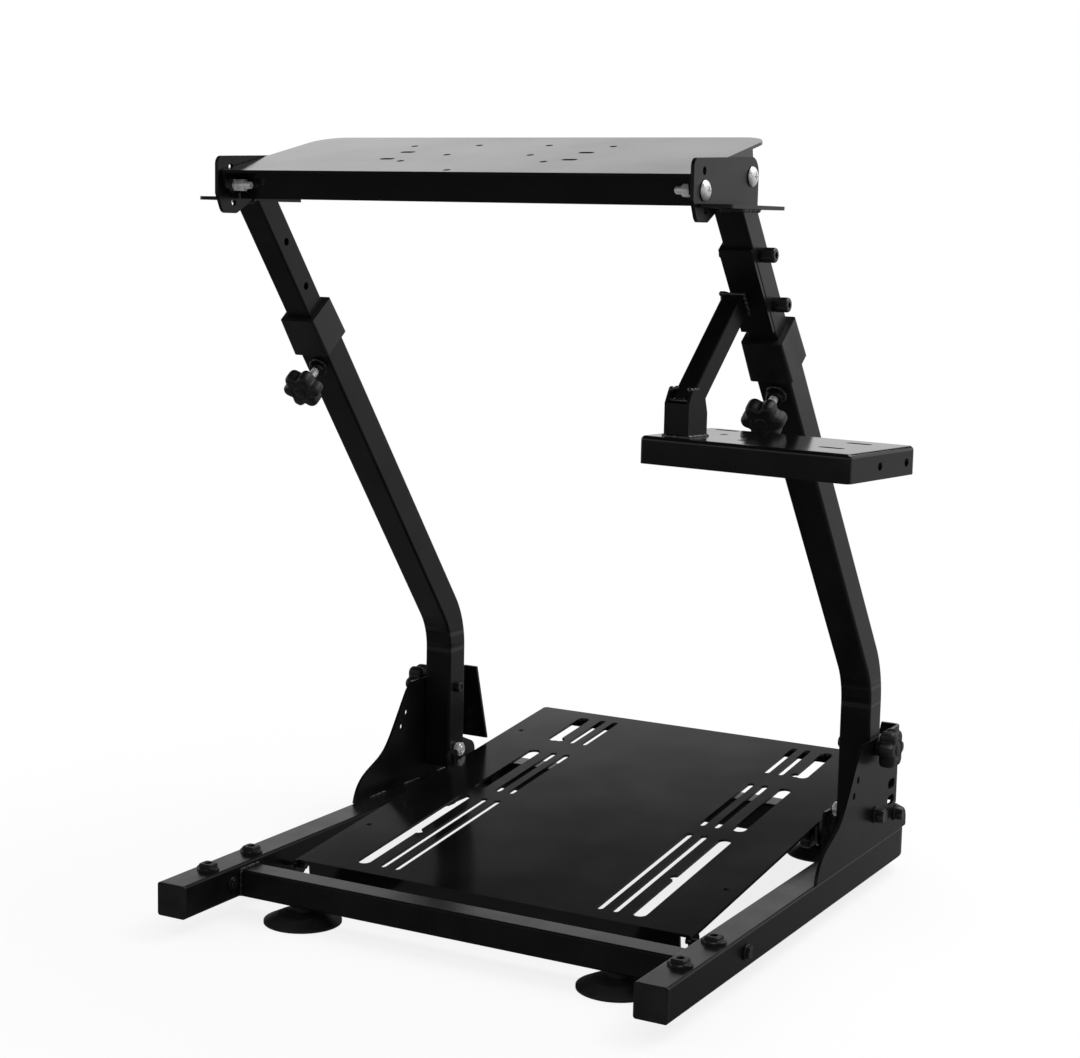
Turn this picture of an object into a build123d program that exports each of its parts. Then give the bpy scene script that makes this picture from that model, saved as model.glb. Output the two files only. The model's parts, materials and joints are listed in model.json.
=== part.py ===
from build123d import *
import math
import os

# Racing wheel stand: a U-shaped floor frame, two bent telescopic uprights, a tilting wheel plate,
# a tilting pedal plate and a shifter pan. Millimetres; X to the driver's right, Y away from the driver, Z up.

# Floor frame
frame_half_width = 247.5
rail_side = 30.0
rail_corner = 2.5
tube_wall = 1.5
frame_length = 560.0
frame_bend = 40.0
foot_height = 16.0
crossbar_side = 25.0
crossbar_front = 78.0
cap_flange = 2.0
cap_depth = 14.0

# Suction feet
foot_radius = 35.0
foot_rim = 4.0
foot_neck_radius = 9.0
foot_x = 158.0

# Anchor sockets on the rails
anchor_radius = 9.0
anchor_height = 6.0
anchor_bore_radius = 3.3
anchor_spots = (50.0, 114.0)

# Side brackets
bracket_thickness = 3.0
bracket_height = 106.0
bracket_near = 302.0
bracket_rear = 511.0
bracket_bend = 9.0
bracket_gap = 0.5
bracket_curve = ((17.0, 0.23), (52.0, 0.39), (72.0, 0.60), (96.0, 0.925))
bracket_shoulder = 104.0
bracket_bulge = 25.0
bracket_bulge_height = 16.0
web_lift = 30.0
web_taper = 14.0
rear_slot_inset = 22.0
rear_slot_size = (18.0, 9.0)
rear_slot_drops = (54.0, 70.0)

# Uprights
upright_side = 30.0
upright_y = 446.0
upright_foot = 60.0
pivot_height = 77.0
pivot_bolt_radius = 4.0
pivot_head_radius = 8.0
pivot_head_length = 10.0
running_gap = 0.05
bend_height = 209.4
bend_radius = 75.0
lean = 37.7
upright_reach = 414.0
fold_lock_radius = 66.0
fold_lock_holes = (48.0, 62.0)
lock_bolt_radius = 3.0

# Telescopic inner tubes
inner_side = 25.0
inner_bottom = 190.0
index_pitch = 50.0
index_first = 446.0
index_radius = 3.5
collar_length = 40.0
collar_wall = 4.0
collar_lip = 5.0

# Star knobs
knob_radius = 19.0
knob_thickness = 15.0
knob_lobes = 6
knob_hub_radius = 9.0
small_knob_scale = 0.7
height_rod_length = 24.0
weld_nut_radius = 8.0
weld_nut_gap = 8.0

# Top holders
holder_thickness = 3.0
holder_base = 637.0
holder_near = 49.0
holder_far = 171.0
holder_front_height = 37.0
holder_rear_height = 42.0
holder_ear_drop = 11.0
flange_overhang = 6.0
flange_corner = 8.0
tilt_pivot_y = 157.5
tilt_pivot_lift = 26.0
tilt_arm = 90.0
tilt_arm_droop = 8.3
tilt_step = 9.5
tilt_hole_radius = 3.3
pivot_cap_radius = 8.2

# Wheel plate
wheel_inset = 9.5
wheel_depth = 158.0
wheel_tilt = 12.4
wheel_near_y = 52.0
wheel_near_lift = 25.1
wheel_sheet = 2.5
wheel_lip = 29.0
wheel_lip_setback = 22.0
cheek_length = 118.0
cheek_depth = 16.0
cheek_ear = 9.0
wheel_side_gap = 1.5
wheel_corner = 25.0
wheel_hole_radius = 3.2
wheel_round_holes = ((96.5, 115.0), (34.0, 119.0), (40.0, 75.0), (68.0, 46.0))
wheel_slots = ((86.0, 86.5), (87.0, 55.0))
wheel_slot_length = 14.0
wheel_centre_hole = 8.0

# Pedal plate
pedal_side_gap = 16.0
pedal_length = 477.0
pedal_tilt = 6.5
pedal_near_y = 141.4
pedal_near_z = 37.3
pedal_sheet = 2.5
pedal_lip = 16.0
lip_setback = 13.0
pedal_hole_radius = 2.6
pedal_hole_inset = 14.5
pedal_hole_rows = (100.0, 397.0)
slot_rows = ((17.0, 206.0), (227.0, 349.0), (382.0, 460.0))
slot_columns = ((104.0, 6.5), (119.0, 6.5), (141.0, 13.0))
notch_spots = (106.0, 388.0)
notch_radius = 5.0
pedal_pivot_z = 31.0
pedal_pivot_y = 146.0
pedal_ear_radius = 9.0
pedal_range = (-2.0, 4.0)
tilt_knob_y = 427.0
tilt_knob_drop = 14.0
lug_thickness = 2.5
lug_clearance = 5.0
lug_margin = 7.0
lug_half = 10.0

# Shifter mount, turned a little towards the driver; places on the pan are from its near left corner
shifter_turn = 9.0
shifter_inset = 54.5
shifter_near = 68.6
shifter_width = 188.0
shifter_depth = 100.5
shifter_top = 460.5
shifter_height = 22.0
shifter_sheet = 2.5
shifter_bend = 4.0
shifter_angle_low = 429.0
shifter_angle_high = 512.0
brace_side = 18.0
brace_foot = (27.0, 21.0)
brace_foot_lift = 21.5
brace_rise = 49.5
brace_length = 140.0
gusset_depth = 26.0
gusset_height = 36.5
gusset_setback = 10.0
gusset_front_height = 26.0
shifter_hole_radius = 3.2
shifter_round_holes = ((75.5, 30.0), (62.5, 54.0), (41.0, 58.0))
shifter_slots = ((152.5, 34.5), (152.0, 77.5), (24.0, 89.0))
shifter_slot_length = 22.0
shifter_side_holes = (46.0, 87.0)
shifter_side_drop = 12.0
shifter_bolt_head_radius = 6.0
shifter_bolt_head_length = 12.0

# Derived places
rail_x = frame_half_width - rail_side / 2
rail_top = foot_height + rail_side
rear_bar_y = frame_length - rail_side / 2
upright_x = frame_half_width - bracket_thickness - bracket_gap - upright_side / 2
wheel_half_width = upright_x - wheel_inset
wheel_near_z = holder_base + wheel_near_lift
tilt_pivot_z = holder_base + tilt_pivot_lift
pedal_half_width = frame_half_width - rail_side - pedal_side_gap
height_knob_reach = upright_reach + collar_lip - collar_length - weld_nut_radius - weld_nut_gap
lean_sin = math.sin(math.radians(lean))
lean_cos = math.cos(math.radians(lean))
parts = {}


def along(distance, side=0.0, out=0.0):
    """A point on the right upright's leaning axis, moved out in X and back from the axis."""
    y = upright_y - distance * lean_sin + side * lean_cos
    z = bend_height + distance * lean_cos + side * lean_sin
    return (upright_x + out, y, z)


def leaning_plane(distance):
    """Section plane of the right upright: local x is X, local y points to the back of the tube."""
    return Plane(origin=along(distance), x_dir=(1, 0, 0), z_dir=(0, -lean_sin, lean_cos))


def tube_section(side, wall, corner):
    return RectangleRounded(side, side, corner) - RectangleRounded(
        side - 2 * wall, side - 2 * wall, max(corner - wall, 0.4)
    )


def side_sheet(face, x, thickness):
    """A flat sheet whose outline is drawn with Y to the right and Z up, standing at X."""
    return extrude(Plane.YZ.offset(x) * face, thickness)


def cross_pin(y, z, radius, x_from, x_to):
    """A round bar along X."""
    return extrude(Plane.YZ.offset(x_from) * Pos(y, z) * Circle(radius), x_to - x_from)


def pair(name, right_shape):
    parts["right_" + name] = right_shape
    parts["left_" + name] = mirror(right_shape, about=Plane.YZ)


def star_knob(plane):
    """A moulded star grip, its base on the plane and its crown along the plane's normal."""
    grip = Circle(knob_radius - 4.0)
    grip += PolarLocations(knob_radius - 5.0, knob_lobes) * Circle(5.0)
    body = extrude(grip, knob_thickness)
    body = chamfer(body.faces().sort_by(Axis.Z)[-1].edges(), 1.5)
    hub = extrude(Circle(knob_hub_radius), -5.0)
    return plane * (body + hub)


# Floor frame: straight rails, a rear bar with rounded corners, and the front crossbar
rail_end = frame_length - frame_bend
rail_line = Plane(origin=(rail_x, 0, foot_height + rail_side / 2), x_dir=(1, 0, 0), z_dir=(0, 1, 0))
rail = extrude(rail_line * tube_section(rail_side, tube_wall, rail_corner), rail_end)
pivot_bore = cross_pin(
    pedal_pivot_y, pedal_pivot_z, lock_bolt_radius + running_gap, rail_x - rail_side, rail_x + rail_side
)
pair("rail", rail - pivot_bore)

bar_level = foot_height + rail_side / 2
bar_path = FilletPolyline(
    (rail_x, rail_end, bar_level),
    (rail_x, rear_bar_y, bar_level),
    (-rail_x, rear_bar_y, bar_level),
    (-rail_x, rail_end, bar_level),
    radius=frame_bend - rail_side / 2 - 1.0,
)
bar_start = Plane(origin=(rail_x, rail_end, bar_level), x_dir=(1, 0, 0), z_dir=(0, 1, 0))
parts["rear_bar"] = sweep(bar_start * tube_section(rail_side, tube_wall, rail_corner), bar_path)

crossbar_length = 2 * (rail_x - rail_side / 2)
crossbar_y = crossbar_front + crossbar_side / 2
crossbar_level = foot_height + crossbar_side / 2
crossbar_start = Plane(
    origin=(-crossbar_length / 2, crossbar_y, crossbar_level), x_dir=(0, 1, 0), z_dir=(1, 0, 0)
)
crossbar_section = tube_section(crossbar_side, tube_wall, 2.0)
parts["front_crossbar"] = extrude(crossbar_start * crossbar_section, crossbar_length)

# Push-in end caps of the rails
cap_inside = rail_side - 2 * tube_wall - 0.2
cap = extrude(rail_line * RectangleRounded(rail_side, rail_side, rail_corner), -cap_flange)
cap += extrude(rail_line * RectangleRounded(cap_inside, cap_inside, 1.0), cap_depth)
pair("rail_cap", cap)

# Suction feet, hollow underneath
foot_profile = Polyline(
    (foot_neck_radius, foot_height),
    (0, foot_height),
    (0, foot_height * 0.45),
    (foot_radius - foot_rim, 0),
    (foot_radius, 0),
    (foot_radius, foot_height * 0.12),
    (foot_radius * 0.62, foot_height * 0.52),
    (foot_neck_radius, foot_height * 0.66),
    close=True,
)
foot = revolve(Plane.XZ * make_face(foot_profile), Axis.Z)
pair("front_foot", Pos(foot_x, crossbar_y, 0) * foot)
pair("rear_foot", Pos(foot_x, rear_bar_y, 0) * foot)

# Anchor sockets on top of the rails
for label, spot in zip(("near", "far"), anchor_spots):
    socket = Circle(anchor_radius) + PolarLocations(anchor_radius - 2.0, 4) * Circle(4.0)
    socket = extrude(Pos(rail_x, spot, rail_top) * (socket - Circle(anchor_bore_radius)), anchor_height)
    socket = chamfer(socket.faces().sort_by(Axis.Z)[-1].outer_wire().edges(), 1.2)
    pair(label + "_anchor", socket)

# Side brackets: a sheet with an S-curved near edge that folds round behind the upright
bracket_top = rail_top + bracket_height
bracket_inside = frame_half_width - bracket_thickness
curve_points = [(bracket_near, rail_top)]
for step, rise in bracket_curve:
    curve_points.append((bracket_near + step, rail_top + rise * bracket_height))
web_bottom = rail_top + web_lift
bracket_outline = Spline(*curve_points) + Polyline(
    curve_points[-1],
    (bracket_near + bracket_shoulder, bracket_top),
    (bracket_rear - bracket_bend, bracket_top),
    (bracket_rear - bracket_bend, web_bottom),
    (bracket_rear + bracket_bulge, rail_top + bracket_bulge_height),
    (bracket_rear + bracket_bulge, rail_top),
    (bracket_near, rail_top),
)
bracket_face = make_face(bracket_outline)
bulge_corner = bracket_face.vertices().sort_by(Axis.X)[-2:].sort_by(Axis.Y)[-1]
bracket_face = fillet(bulge_corner, bracket_bulge_height * 0.8)
fold_lock_z = pivot_height + fold_lock_radius
lock_spots = [(upright_y, fold_lock_z)]
for angle in fold_lock_holes:
    turn = math.radians(angle)
    lock_spots.append(
        (upright_y - fold_lock_radius * math.sin(turn), pivot_height + fold_lock_radius * math.cos(turn))
    )
bracket = side_sheet(bracket_face, bracket_inside, bracket_thickness)
for y, z in lock_spots:
    bracket -= cross_pin(y, z, lock_bolt_radius + 0.3, bracket_inside - 1, frame_half_width + 1)
bracket -= cross_pin(
    upright_y, pivot_height, pivot_bolt_radius + running_gap, bracket_inside - 1, frame_half_width + 1
)
for drop in rear_slot_drops:
    rear_slot = Pos(bracket_rear - rear_slot_inset, bracket_top - drop) * SlotOverall(*rear_slot_size)
    bracket -= side_sheet(rear_slot, bracket_inside - 1, bracket_thickness + 2)
web_x = frame_half_width - bracket_thickness / 2
web_inner = upright_x - upright_side / 2
web_level = (web_bottom + bracket_top) / 2
web_path = FilletPolyline(
    (web_x, bracket_rear - bracket_bend, web_level),
    (web_x, bracket_rear - bracket_thickness / 2, web_level),
    (web_inner, bracket_rear - bracket_thickness / 2, web_level),
    radius=bracket_bend - bracket_thickness,
)
web_start = Plane(origin=(web_x, bracket_rear - bracket_bend, web_level), x_dir=(1, 0, 0), z_dir=(0, 1, 0))
web = sweep(web_start * Rectangle(bracket_thickness, bracket_height - web_lift), web_path)
web_slope = Polyline(
    (web_inner, web_bottom), (web_inner + web_taper, bracket_top), (web_inner, bracket_top), close=True
)
web -= extrude(Plane.XZ.offset(-bracket_rear) * make_face(web_slope), 2 * bracket_bend, both=True)
pair("bracket", bracket + web)

# Uprights: bent square tubes that turn on a bolt low in the bracket
upright_path = FilletPolyline(
    (upright_x, upright_y, upright_foot),
    (upright_x, upright_y, bend_height),
    along(upright_reach),
    radius=bend_radius,
)
upright_start = Plane(origin=(upright_x, upright_y, upright_foot), x_dir=(1, 0, 0), z_dir=(0, 0, 1))
upright = sweep(upright_start * tube_section(upright_side, tube_wall, rail_corner), upright_path)
upright -= cross_pin(
    upright_y, pivot_height, pivot_bolt_radius + running_gap, upright_x - upright_side, upright_x + upright_side
)
front_normal = Vector(0, -lean_cos, -lean_sin)
height_rod_root = Vector(*along(height_knob_reach, -upright_side / 2))
height_plane = Plane(origin=height_rod_root, x_dir=(1, 0, 0), z_dir=front_normal)
pair("upright", upright)

pivot_inner = upright_x - upright_side / 2
pivot_bolt = cross_pin(upright_y, pivot_height, pivot_bolt_radius, pivot_inner - 7, frame_half_width + 0.3)
pivot_bolt += extrude(
    Plane.YZ.offset(frame_half_width + 0.3) * Pos(upright_y, pivot_height) * Circle(pivot_head_radius),
    pivot_head_length,
)
pivot_bolt += extrude(
    Plane.YZ.offset(pivot_inner - 7) * Pos(upright_y, pivot_height) * RegularPolygon(7.5, 6), 6.5
)
pair("pivot_bolt", pivot_bolt)

# Fold lock knobs on the outside of the brackets
fold_knob_x = frame_half_width + 5.3
fold_plane = Plane(origin=(fold_knob_x, upright_y, fold_lock_z), x_dir=(0, 1, 0), z_dir=(1, 0, 0))
fold_knob = star_knob(fold_plane)
lock_tip = bracket_inside - bracket_gap + 0.2
fold_knob += cross_pin(upright_y, fold_lock_z, lock_bolt_radius, lock_tip, fold_knob_x)
pair("fold_knob", fold_knob)

# Collars at the top of the outer tubes, which guide the inner tubes
collar_side = upright_side + 2 * collar_wall
inner_play = 0.3
collar = extrude(
    leaning_plane(upright_reach - collar_length + collar_lip) * RectangleRounded(collar_side, collar_side, 3.0),
    collar_length,
    taper=1.5,
)
collar -= extrude(
    leaning_plane(upright_reach - collar_length) * RectangleRounded(upright_side, upright_side, rail_corner),
    collar_length,
)
collar -= extrude(
    leaning_plane(upright_reach - 1) * Rectangle(inner_side + 2 * inner_play, inner_side + 2 * inner_play),
    collar_length,
)
pair("collar", collar)

# Height knobs: a threaded rod on the front of each outer tube with a star grip
height_knob = star_knob(height_plane.offset(height_rod_length))
height_knob += extrude(height_plane * Circle(lock_bolt_radius + 1.0), height_rod_length)
height_knob += extrude(height_plane * RegularPolygon(weld_nut_radius, 6), 7.0)
pair("height_knob", height_knob)

# Inner tubes, cut level under the holder flange
inner_length = (holder_base - bend_height) / lean_cos - inner_bottom + inner_side
inner = extrude(leaning_plane(inner_bottom) * tube_section(inner_side, tube_wall, 2.0), inner_length)
inner &= Pos(upright_x, 0, holder_base / 2) * Box(4 * inner_side, 4 * frame_length, holder_base)
for step in range(2):
    _, hole_y, hole_z = along(index_first + step * index_pitch)
    inner -= cross_pin(hole_y, hole_z, index_radius, upright_x - inner_side, upright_x + inner_side)
pair("inner_tube", inner)

# Holders: an upright sheet with three tilt holes on an arc, and a flange welded on the tube
def tilt_hole(step):
    """Y and Z of a tilt hole, counted down from the middle one."""
    angle = math.radians(tilt_arm_droop + step * tilt_step)
    return tilt_pivot_y - tilt_arm * math.cos(angle), tilt_pivot_z - tilt_arm * math.sin(angle)


holder_inside = wheel_half_width + wheel_side_gap
holder_outside = holder_inside + holder_thickness
ear_y = tilt_hole(1)[0]
ear_half = (ear_y - holder_near) / 2
holder_corners = {
    (holder_near, holder_base + holder_front_height): 7.0,
    (holder_far, holder_base + holder_rear_height): 13.0,
    (ear_y + ear_half / 3, holder_base - holder_ear_drop): 6.0,
    (holder_near + ear_half * 0.7, holder_base - holder_ear_drop): 7.0,
}
near_top, far_top, ear_far, ear_near = holder_corners
holder_outline = Polyline(
    near_top,
    far_top,
    (holder_far, holder_base),
    (ear_y + 2.2 * ear_half, holder_base),
    ear_far,
    ear_near,
    (holder_near, holder_base + holder_ear_drop / 2),
    close=True,
)
holder_face = make_face(holder_outline)
for (y, z), radius in holder_corners.items():
    corner = holder_face.vertices().sort_by_distance((y, z, 0))[0]
    holder_face = fillet(corner, radius)
holder = side_sheet(holder_face, holder_inside, holder_thickness)
for step in (-1, 0, 1):
    hole_y, hole_z = tilt_hole(step)
    holder -= cross_pin(hole_y, hole_z, tilt_hole_radius, holder_inside - 1, holder_outside + 1)
holder -= cross_pin(
    tilt_pivot_y, tilt_pivot_z, lock_bolt_radius + running_gap, holder_inside - 1, holder_outside + 1
)
flange_width = upright_x + upright_side / 2 + flange_overhang - holder_inside
flange_depth = holder_far - holder_near - flange_corner
flange = Pos(holder_inside, holder_far, holder_base) * Box(
    flange_width, flange_depth, holder_thickness, align=(Align.MIN, Align.MAX, Align.MIN)
)
flange = fillet(flange.edges().filter_by(Axis.Z).sort_by(Axis.X)[-2:], flange_corner)
pair("holder", holder + flange)

# Wheel plate: folded sheet with a stiffening lip behind the tilt bolts and two side cheeks with ears
wheel_frame = Pos(0, wheel_near_y, wheel_near_z) * Rot(X=wheel_tilt)
wheel_outline = Rectangle(2 * wheel_half_width, wheel_depth)
wheel_outline = fillet(wheel_outline.vertices().sort_by(Axis.Y)[-2:], wheel_corner)
wheel = extrude(Pos(0, wheel_depth / 2) * wheel_outline, -wheel_sheet)
wheel += Pos(0, wheel_lip_setback, 0) * Box(
    2 * wheel_half_width, wheel_sheet, wheel_lip, align=(Align.CENTER, Align.MIN, Align.MAX)
)


def on_wheel_side(y, z):
    """Place along and above the wheel plate's side of a point given by its Y and Z."""
    turn = math.radians(wheel_tilt)
    back = y - wheel_near_y
    up = z - wheel_near_z
    return back * math.cos(turn) + up * math.sin(turn), up * math.cos(turn) - back * math.sin(turn)


cheek = Pos(cheek_length / 2, -cheek_depth / 2) * Rectangle(cheek_length, cheek_depth)
cheek += Pos(*on_wheel_side(*tilt_hole(0))) * Circle(cheek_ear)
cheek += Pos(*on_wheel_side(tilt_pivot_y, tilt_pivot_z)) * Circle(cheek_ear)
cheek -= Pos(*on_wheel_side(*tilt_hole(0))) * Circle(tilt_hole_radius)
for x in (-wheel_half_width, wheel_half_width - wheel_sheet):
    wheel += side_sheet(cheek, x, wheel_sheet)
for x, y in wheel_round_holes:
    for sign in (-1, 1):
        wheel -= Pos(sign * x, y) * Cylinder(wheel_hole_radius, 4 * wheel_sheet)
for x, y in wheel_slots:
    for sign in (-1, 1):
        wheel -= extrude(
            Pos(sign * x, y) * SlotOverall(wheel_slot_length, 2 * wheel_hole_radius), 2 * wheel_sheet, both=True
        )
wheel -= Pos(0, wheel_centre_hole) * Cylinder(wheel_hole_radius, 4 * wheel_sheet)
wheel = wheel_frame * wheel
wheel -= cross_pin(tilt_pivot_y, tilt_pivot_z, lock_bolt_radius + running_gap, -holder_inside, holder_inside)
parts["wheel_plate"] = wheel

cheek_inside = wheel_half_width - wheel_sheet
tilt_pivot = cross_pin(tilt_pivot_y, tilt_pivot_z, lock_bolt_radius, cheek_inside - 8, holder_outside + 0.3)
tilt_pivot += extrude(
    Plane.YZ.offset(holder_outside + 0.3) * Pos(tilt_pivot_y, tilt_pivot_z) * Circle(pivot_cap_radius),
    3.5,
    taper=20,
)
tilt_pivot += extrude(
    Plane.YZ.offset(cheek_inside - 6) * Pos(tilt_pivot_y, tilt_pivot_z) * RegularPolygon(5.8, 6), 5.0
)
pair("wheel_pivot", tilt_pivot)

# Pedal plate: slotted sheet with a front and a rear lip, front ears and side tabs
pedal_frame = Pos(0, pedal_near_y, pedal_near_z) * Rot(X=pedal_tilt)
pedal_outline = RectangleRounded(2 * pedal_half_width, pedal_length, 4.0)
pedal = extrude(Pos(0, pedal_length / 2) * pedal_outline, -pedal_sheet)
for lip_y in (pedal_sheet / 2 + 1.0, pedal_length - pedal_sheet / 2 - 1.0):
    pedal += Pos(0, lip_y, -pedal_lip / 2) * Box(2 * (pedal_half_width - lip_setback), pedal_sheet, pedal_lip)
cuts = Sketch()
for sign in (-1, 1):
    for row_start, row_end in slot_rows:
        for x, width in slot_columns:
            slot = Rot(Z=90) * SlotOverall(row_end - row_start, width)
            cuts += Pos(sign * x, (row_start + row_end) / 2) * slot
    wide_x, wide_width = slot_columns[-1]
    for spot in notch_spots:
        cuts += Pos(sign * (wide_x - wide_width / 2), spot) * Circle(notch_radius)
    for row in pedal_hole_rows:
        cuts += Pos(sign * (pedal_half_width - pedal_hole_inset), row) * Circle(pedal_hole_radius)
pedal -= extrude(cuts, 2 * pedal_sheet, both=True)
pedal = pedal_frame * pedal
tab_x = pedal_half_width - pedal_sheet
knob_reach = tilt_knob_y - pedal_near_y
knob_surface_z = pedal_near_z + knob_reach * math.tan(math.radians(pedal_tilt))
knob_z = knob_surface_z - pedal_sheet - tilt_knob_drop
for sign in (-1, 1):
    ear = Pos(pedal_pivot_y, pedal_pivot_z) * Circle(pedal_ear_radius)
    ear_x = pedal_half_width - pedal_sheet if sign > 0 else -pedal_half_width
    ear_solid = side_sheet(ear, ear_x, pedal_sheet)
    tab = Pos(tilt_knob_y, knob_z) * Circle(9.0) + Pos(tilt_knob_y, knob_z + 7) * Rectangle(18.0, 14.0)
    tab_solid = side_sheet(tab, ear_x, pedal_sheet)
    pedal += ear_solid
    pedal += tab_solid
pedal_top_cut = pedal_frame * Pos(0, pedal_length / 2, 25) * Box(3 * pedal_half_width, 2 * pedal_length, 50)
pedal -= pedal_top_cut
for x in (-pedal_half_width, tab_x):
    bore_from = x - pedal_sheet
    bore_to = x + 2 * pedal_sheet
    pedal -= cross_pin(pedal_pivot_y, pedal_pivot_z, lock_bolt_radius + running_gap, bore_from, bore_to)
    pedal -= cross_pin(tilt_knob_y, knob_z, lock_bolt_radius + running_gap, bore_from, bore_to)
parts["pedal_plate"] = pedal

# Pedal pivot bolts through the rails
pedal_bolt = cross_pin(
    pedal_pivot_y, pedal_pivot_z, lock_bolt_radius, pedal_half_width - pedal_sheet - 6, frame_half_width + 0.3
)
pedal_bolt += extrude(
    Plane.YZ.offset(frame_half_width + 0.3) * Pos(pedal_pivot_y, pedal_pivot_z) * Circle(7.0), 5.0
)
pair("pedal_bolt", pedal_bolt)

# Slotted lugs on the rails that hold the pedal plate's rear tilt
lug_x = pedal_half_width + lug_clearance
knob_radius_from_pivot = math.hypot(tilt_knob_y - pedal_pivot_y, knob_z - pedal_pivot_z)
knob_angle = math.degrees(math.atan2(knob_z - pedal_pivot_z, tilt_knob_y - pedal_pivot_y))
slot_low = knob_angle + pedal_range[0]
slot_high = knob_angle + pedal_range[1]
slot_arc = CenterArc((pedal_pivot_y, pedal_pivot_z), knob_radius_from_pivot, slot_low, slot_high - slot_low)
lug_top = pedal_pivot_z + knob_radius_from_pivot * math.sin(math.radians(slot_high)) + lug_margin
lug_bottom = foot_height + 6.0
lug_height = lug_top - lug_bottom
lug_face = Pos(tilt_knob_y - 1, lug_bottom + lug_height / 2) * RectangleRounded(2 * lug_half, lug_height, 4.0)
lug = side_sheet(lug_face, lug_x, lug_thickness)
lug -= extrude(
    Plane.YZ.offset(lug_x - 1) * SlotArc(slot_arc, 2 * (lock_bolt_radius + 0.5)), lug_thickness + 2
)
spacer_width = rail_x - rail_side / 2 - lug_x - lug_thickness
lug += Pos(lug_x + lug_thickness + spacer_width / 2, tilt_knob_y - 1, lug_bottom + 9) * Box(
    spacer_width, 2 * lug_half - 6, 14
)
pair("tilt_lug", lug)

# Hand knobs of the pedal plate's tilt, inside the tabs
pedal_knob_plane = Plane(origin=(tab_x - 5.3, tilt_knob_y, knob_z), x_dir=(0, 1, 0), z_dir=(-1, 0, 0))
pedal_knob = star_knob(Plane.XY)
pedal_knob = pedal_knob_plane * scale(pedal_knob, by=small_knob_scale)
pedal_knob += cross_pin(tilt_knob_y, knob_z, lock_bolt_radius, tab_x - 6, lug_x + lug_thickness + 1)
pair("pedal_knob", pedal_knob)

# Shifter mount: an angle bolted through the right inner tube, a brace, a gusset and a folded pan
angle_length = shifter_angle_high - shifter_angle_low
angle_play = 0.2
front_out = inner_side / 2 + angle_play
angle_section = Pos(-1.5, -front_out - holder_thickness / 2) * Rectangle(inner_side + 3, holder_thickness)
angle_section += Pos(-front_out - holder_thickness / 2, -2.5 - holder_thickness / 2) * Rectangle(
    holder_thickness, inner_side - 5 + holder_thickness
)
angle = extrude(leaning_plane(shifter_angle_low) * angle_section, angle_length)
for step in range(2):
    _, bolt_y, bolt_z = along(index_first + step * index_pitch)
    angle -= cross_pin(bolt_y, bolt_z, lock_bolt_radius + 0.3, upright_x - inner_side, upright_x)
    bolt_tip = upright_x - front_out - holder_thickness - 8
    bolt_seat = upright_x + inner_side / 2 + 0.2
    bolt = cross_pin(bolt_y, bolt_z, lock_bolt_radius, bolt_tip, bolt_seat)
    bolt += cross_pin(bolt_y, bolt_z, shifter_bolt_head_radius, bolt_seat, bolt_seat + shifter_bolt_head_length)
    nut_seat = bolt_tip + 2.0
    nut = Pos(bolt_y, bolt_z) * RegularPolygon(shifter_bolt_head_radius, 6)
    bolt += extrude(Plane.YZ.offset(nut_seat) * nut, 6.0)
    parts[("lower", "upper")[step] + "_shifter_bolt"] = bolt
parts["shifter_angle"] = angle

shifter_place = Pos(upright_x - shifter_inset, shifter_near, shifter_top) * Rot(Z=-shifter_turn)
pan = Box(shifter_width, shifter_depth, shifter_height, align=(Align.MIN, Align.MIN, Align.MAX))
pan = fillet(pan.edges().filter_by(Axis.Z), shifter_bend)
pan = fillet(pan.faces().sort_by(Axis.Z)[-1].edges(), shifter_bend - 0.5)
pan = offset(pan, amount=-shifter_sheet, openings=pan.faces().sort_by(Axis.Z)[0])
pan_cuts = Sketch()
for x, y in shifter_slots:
    pan_cuts += Pos(x, y) * SlotOverall(shifter_slot_length, 2 * shifter_hole_radius)
for x, y in shifter_round_holes:
    pan_cuts += Pos(x, y) * Circle(shifter_hole_radius)
pan -= extrude(pan_cuts, 3 * shifter_sheet, both=True)
wall_inside = shifter_width - 3 * shifter_sheet
for y in shifter_side_holes:
    pan -= cross_pin(y, -shifter_side_drop, shifter_hole_radius, wall_inside, shifter_width + 1)
parts["shifter_pan"] = shifter_place * pan

brace_turn = math.radians(brace_rise)
brace_x, brace_y = brace_foot
brace_plane = Plane(
    origin=(brace_x, brace_y, brace_foot_lift),
    x_dir=(1, 0, 0),
    z_dir=(0, math.cos(brace_turn), math.sin(brace_turn)),
)
brace = shifter_place * extrude(brace_plane * tube_section(brace_side, tube_wall, 2.0), brace_length)
behind = frame_length / 2 - front_out - holder_thickness
tube_room = Box(frame_length, frame_length, 2 * frame_length)
brace -= leaning_plane(shifter_angle_low) * Pos(0, behind, 0) * tube_room
parts["shifter_brace"] = brace

# The gusset is a socket round the brace's foot, open at the back
gusset_near = brace_y - gusset_setback
gusset_far = gusset_near + gusset_depth
gusset_side = Polyline(
    (gusset_near, 0),
    (gusset_far, 0),
    (gusset_far, gusset_height / 2),
    (gusset_far - gusset_setback / 2, gusset_height),
    (gusset_near + gusset_setback / 2, gusset_height),
    (gusset_near, gusset_front_height),
    close=True,
)
floor_align = (Align.CENTER, Align.MIN, Align.MIN)
gusset = Pos(brace_x, gusset_near, 0) * Box(brace_side, gusset_depth, shifter_sheet, align=floor_align)
gusset += Pos(brace_x, gusset_near, 0) * Box(brace_side, shifter_sheet, gusset_front_height, align=floor_align)
for x in (brace_x - brace_side / 2 - shifter_sheet, brace_x + brace_side / 2):
    gusset += side_sheet(make_face(gusset_side), x, shifter_sheet)
parts["shifter_gusset"] = shifter_place * gusset

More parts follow.
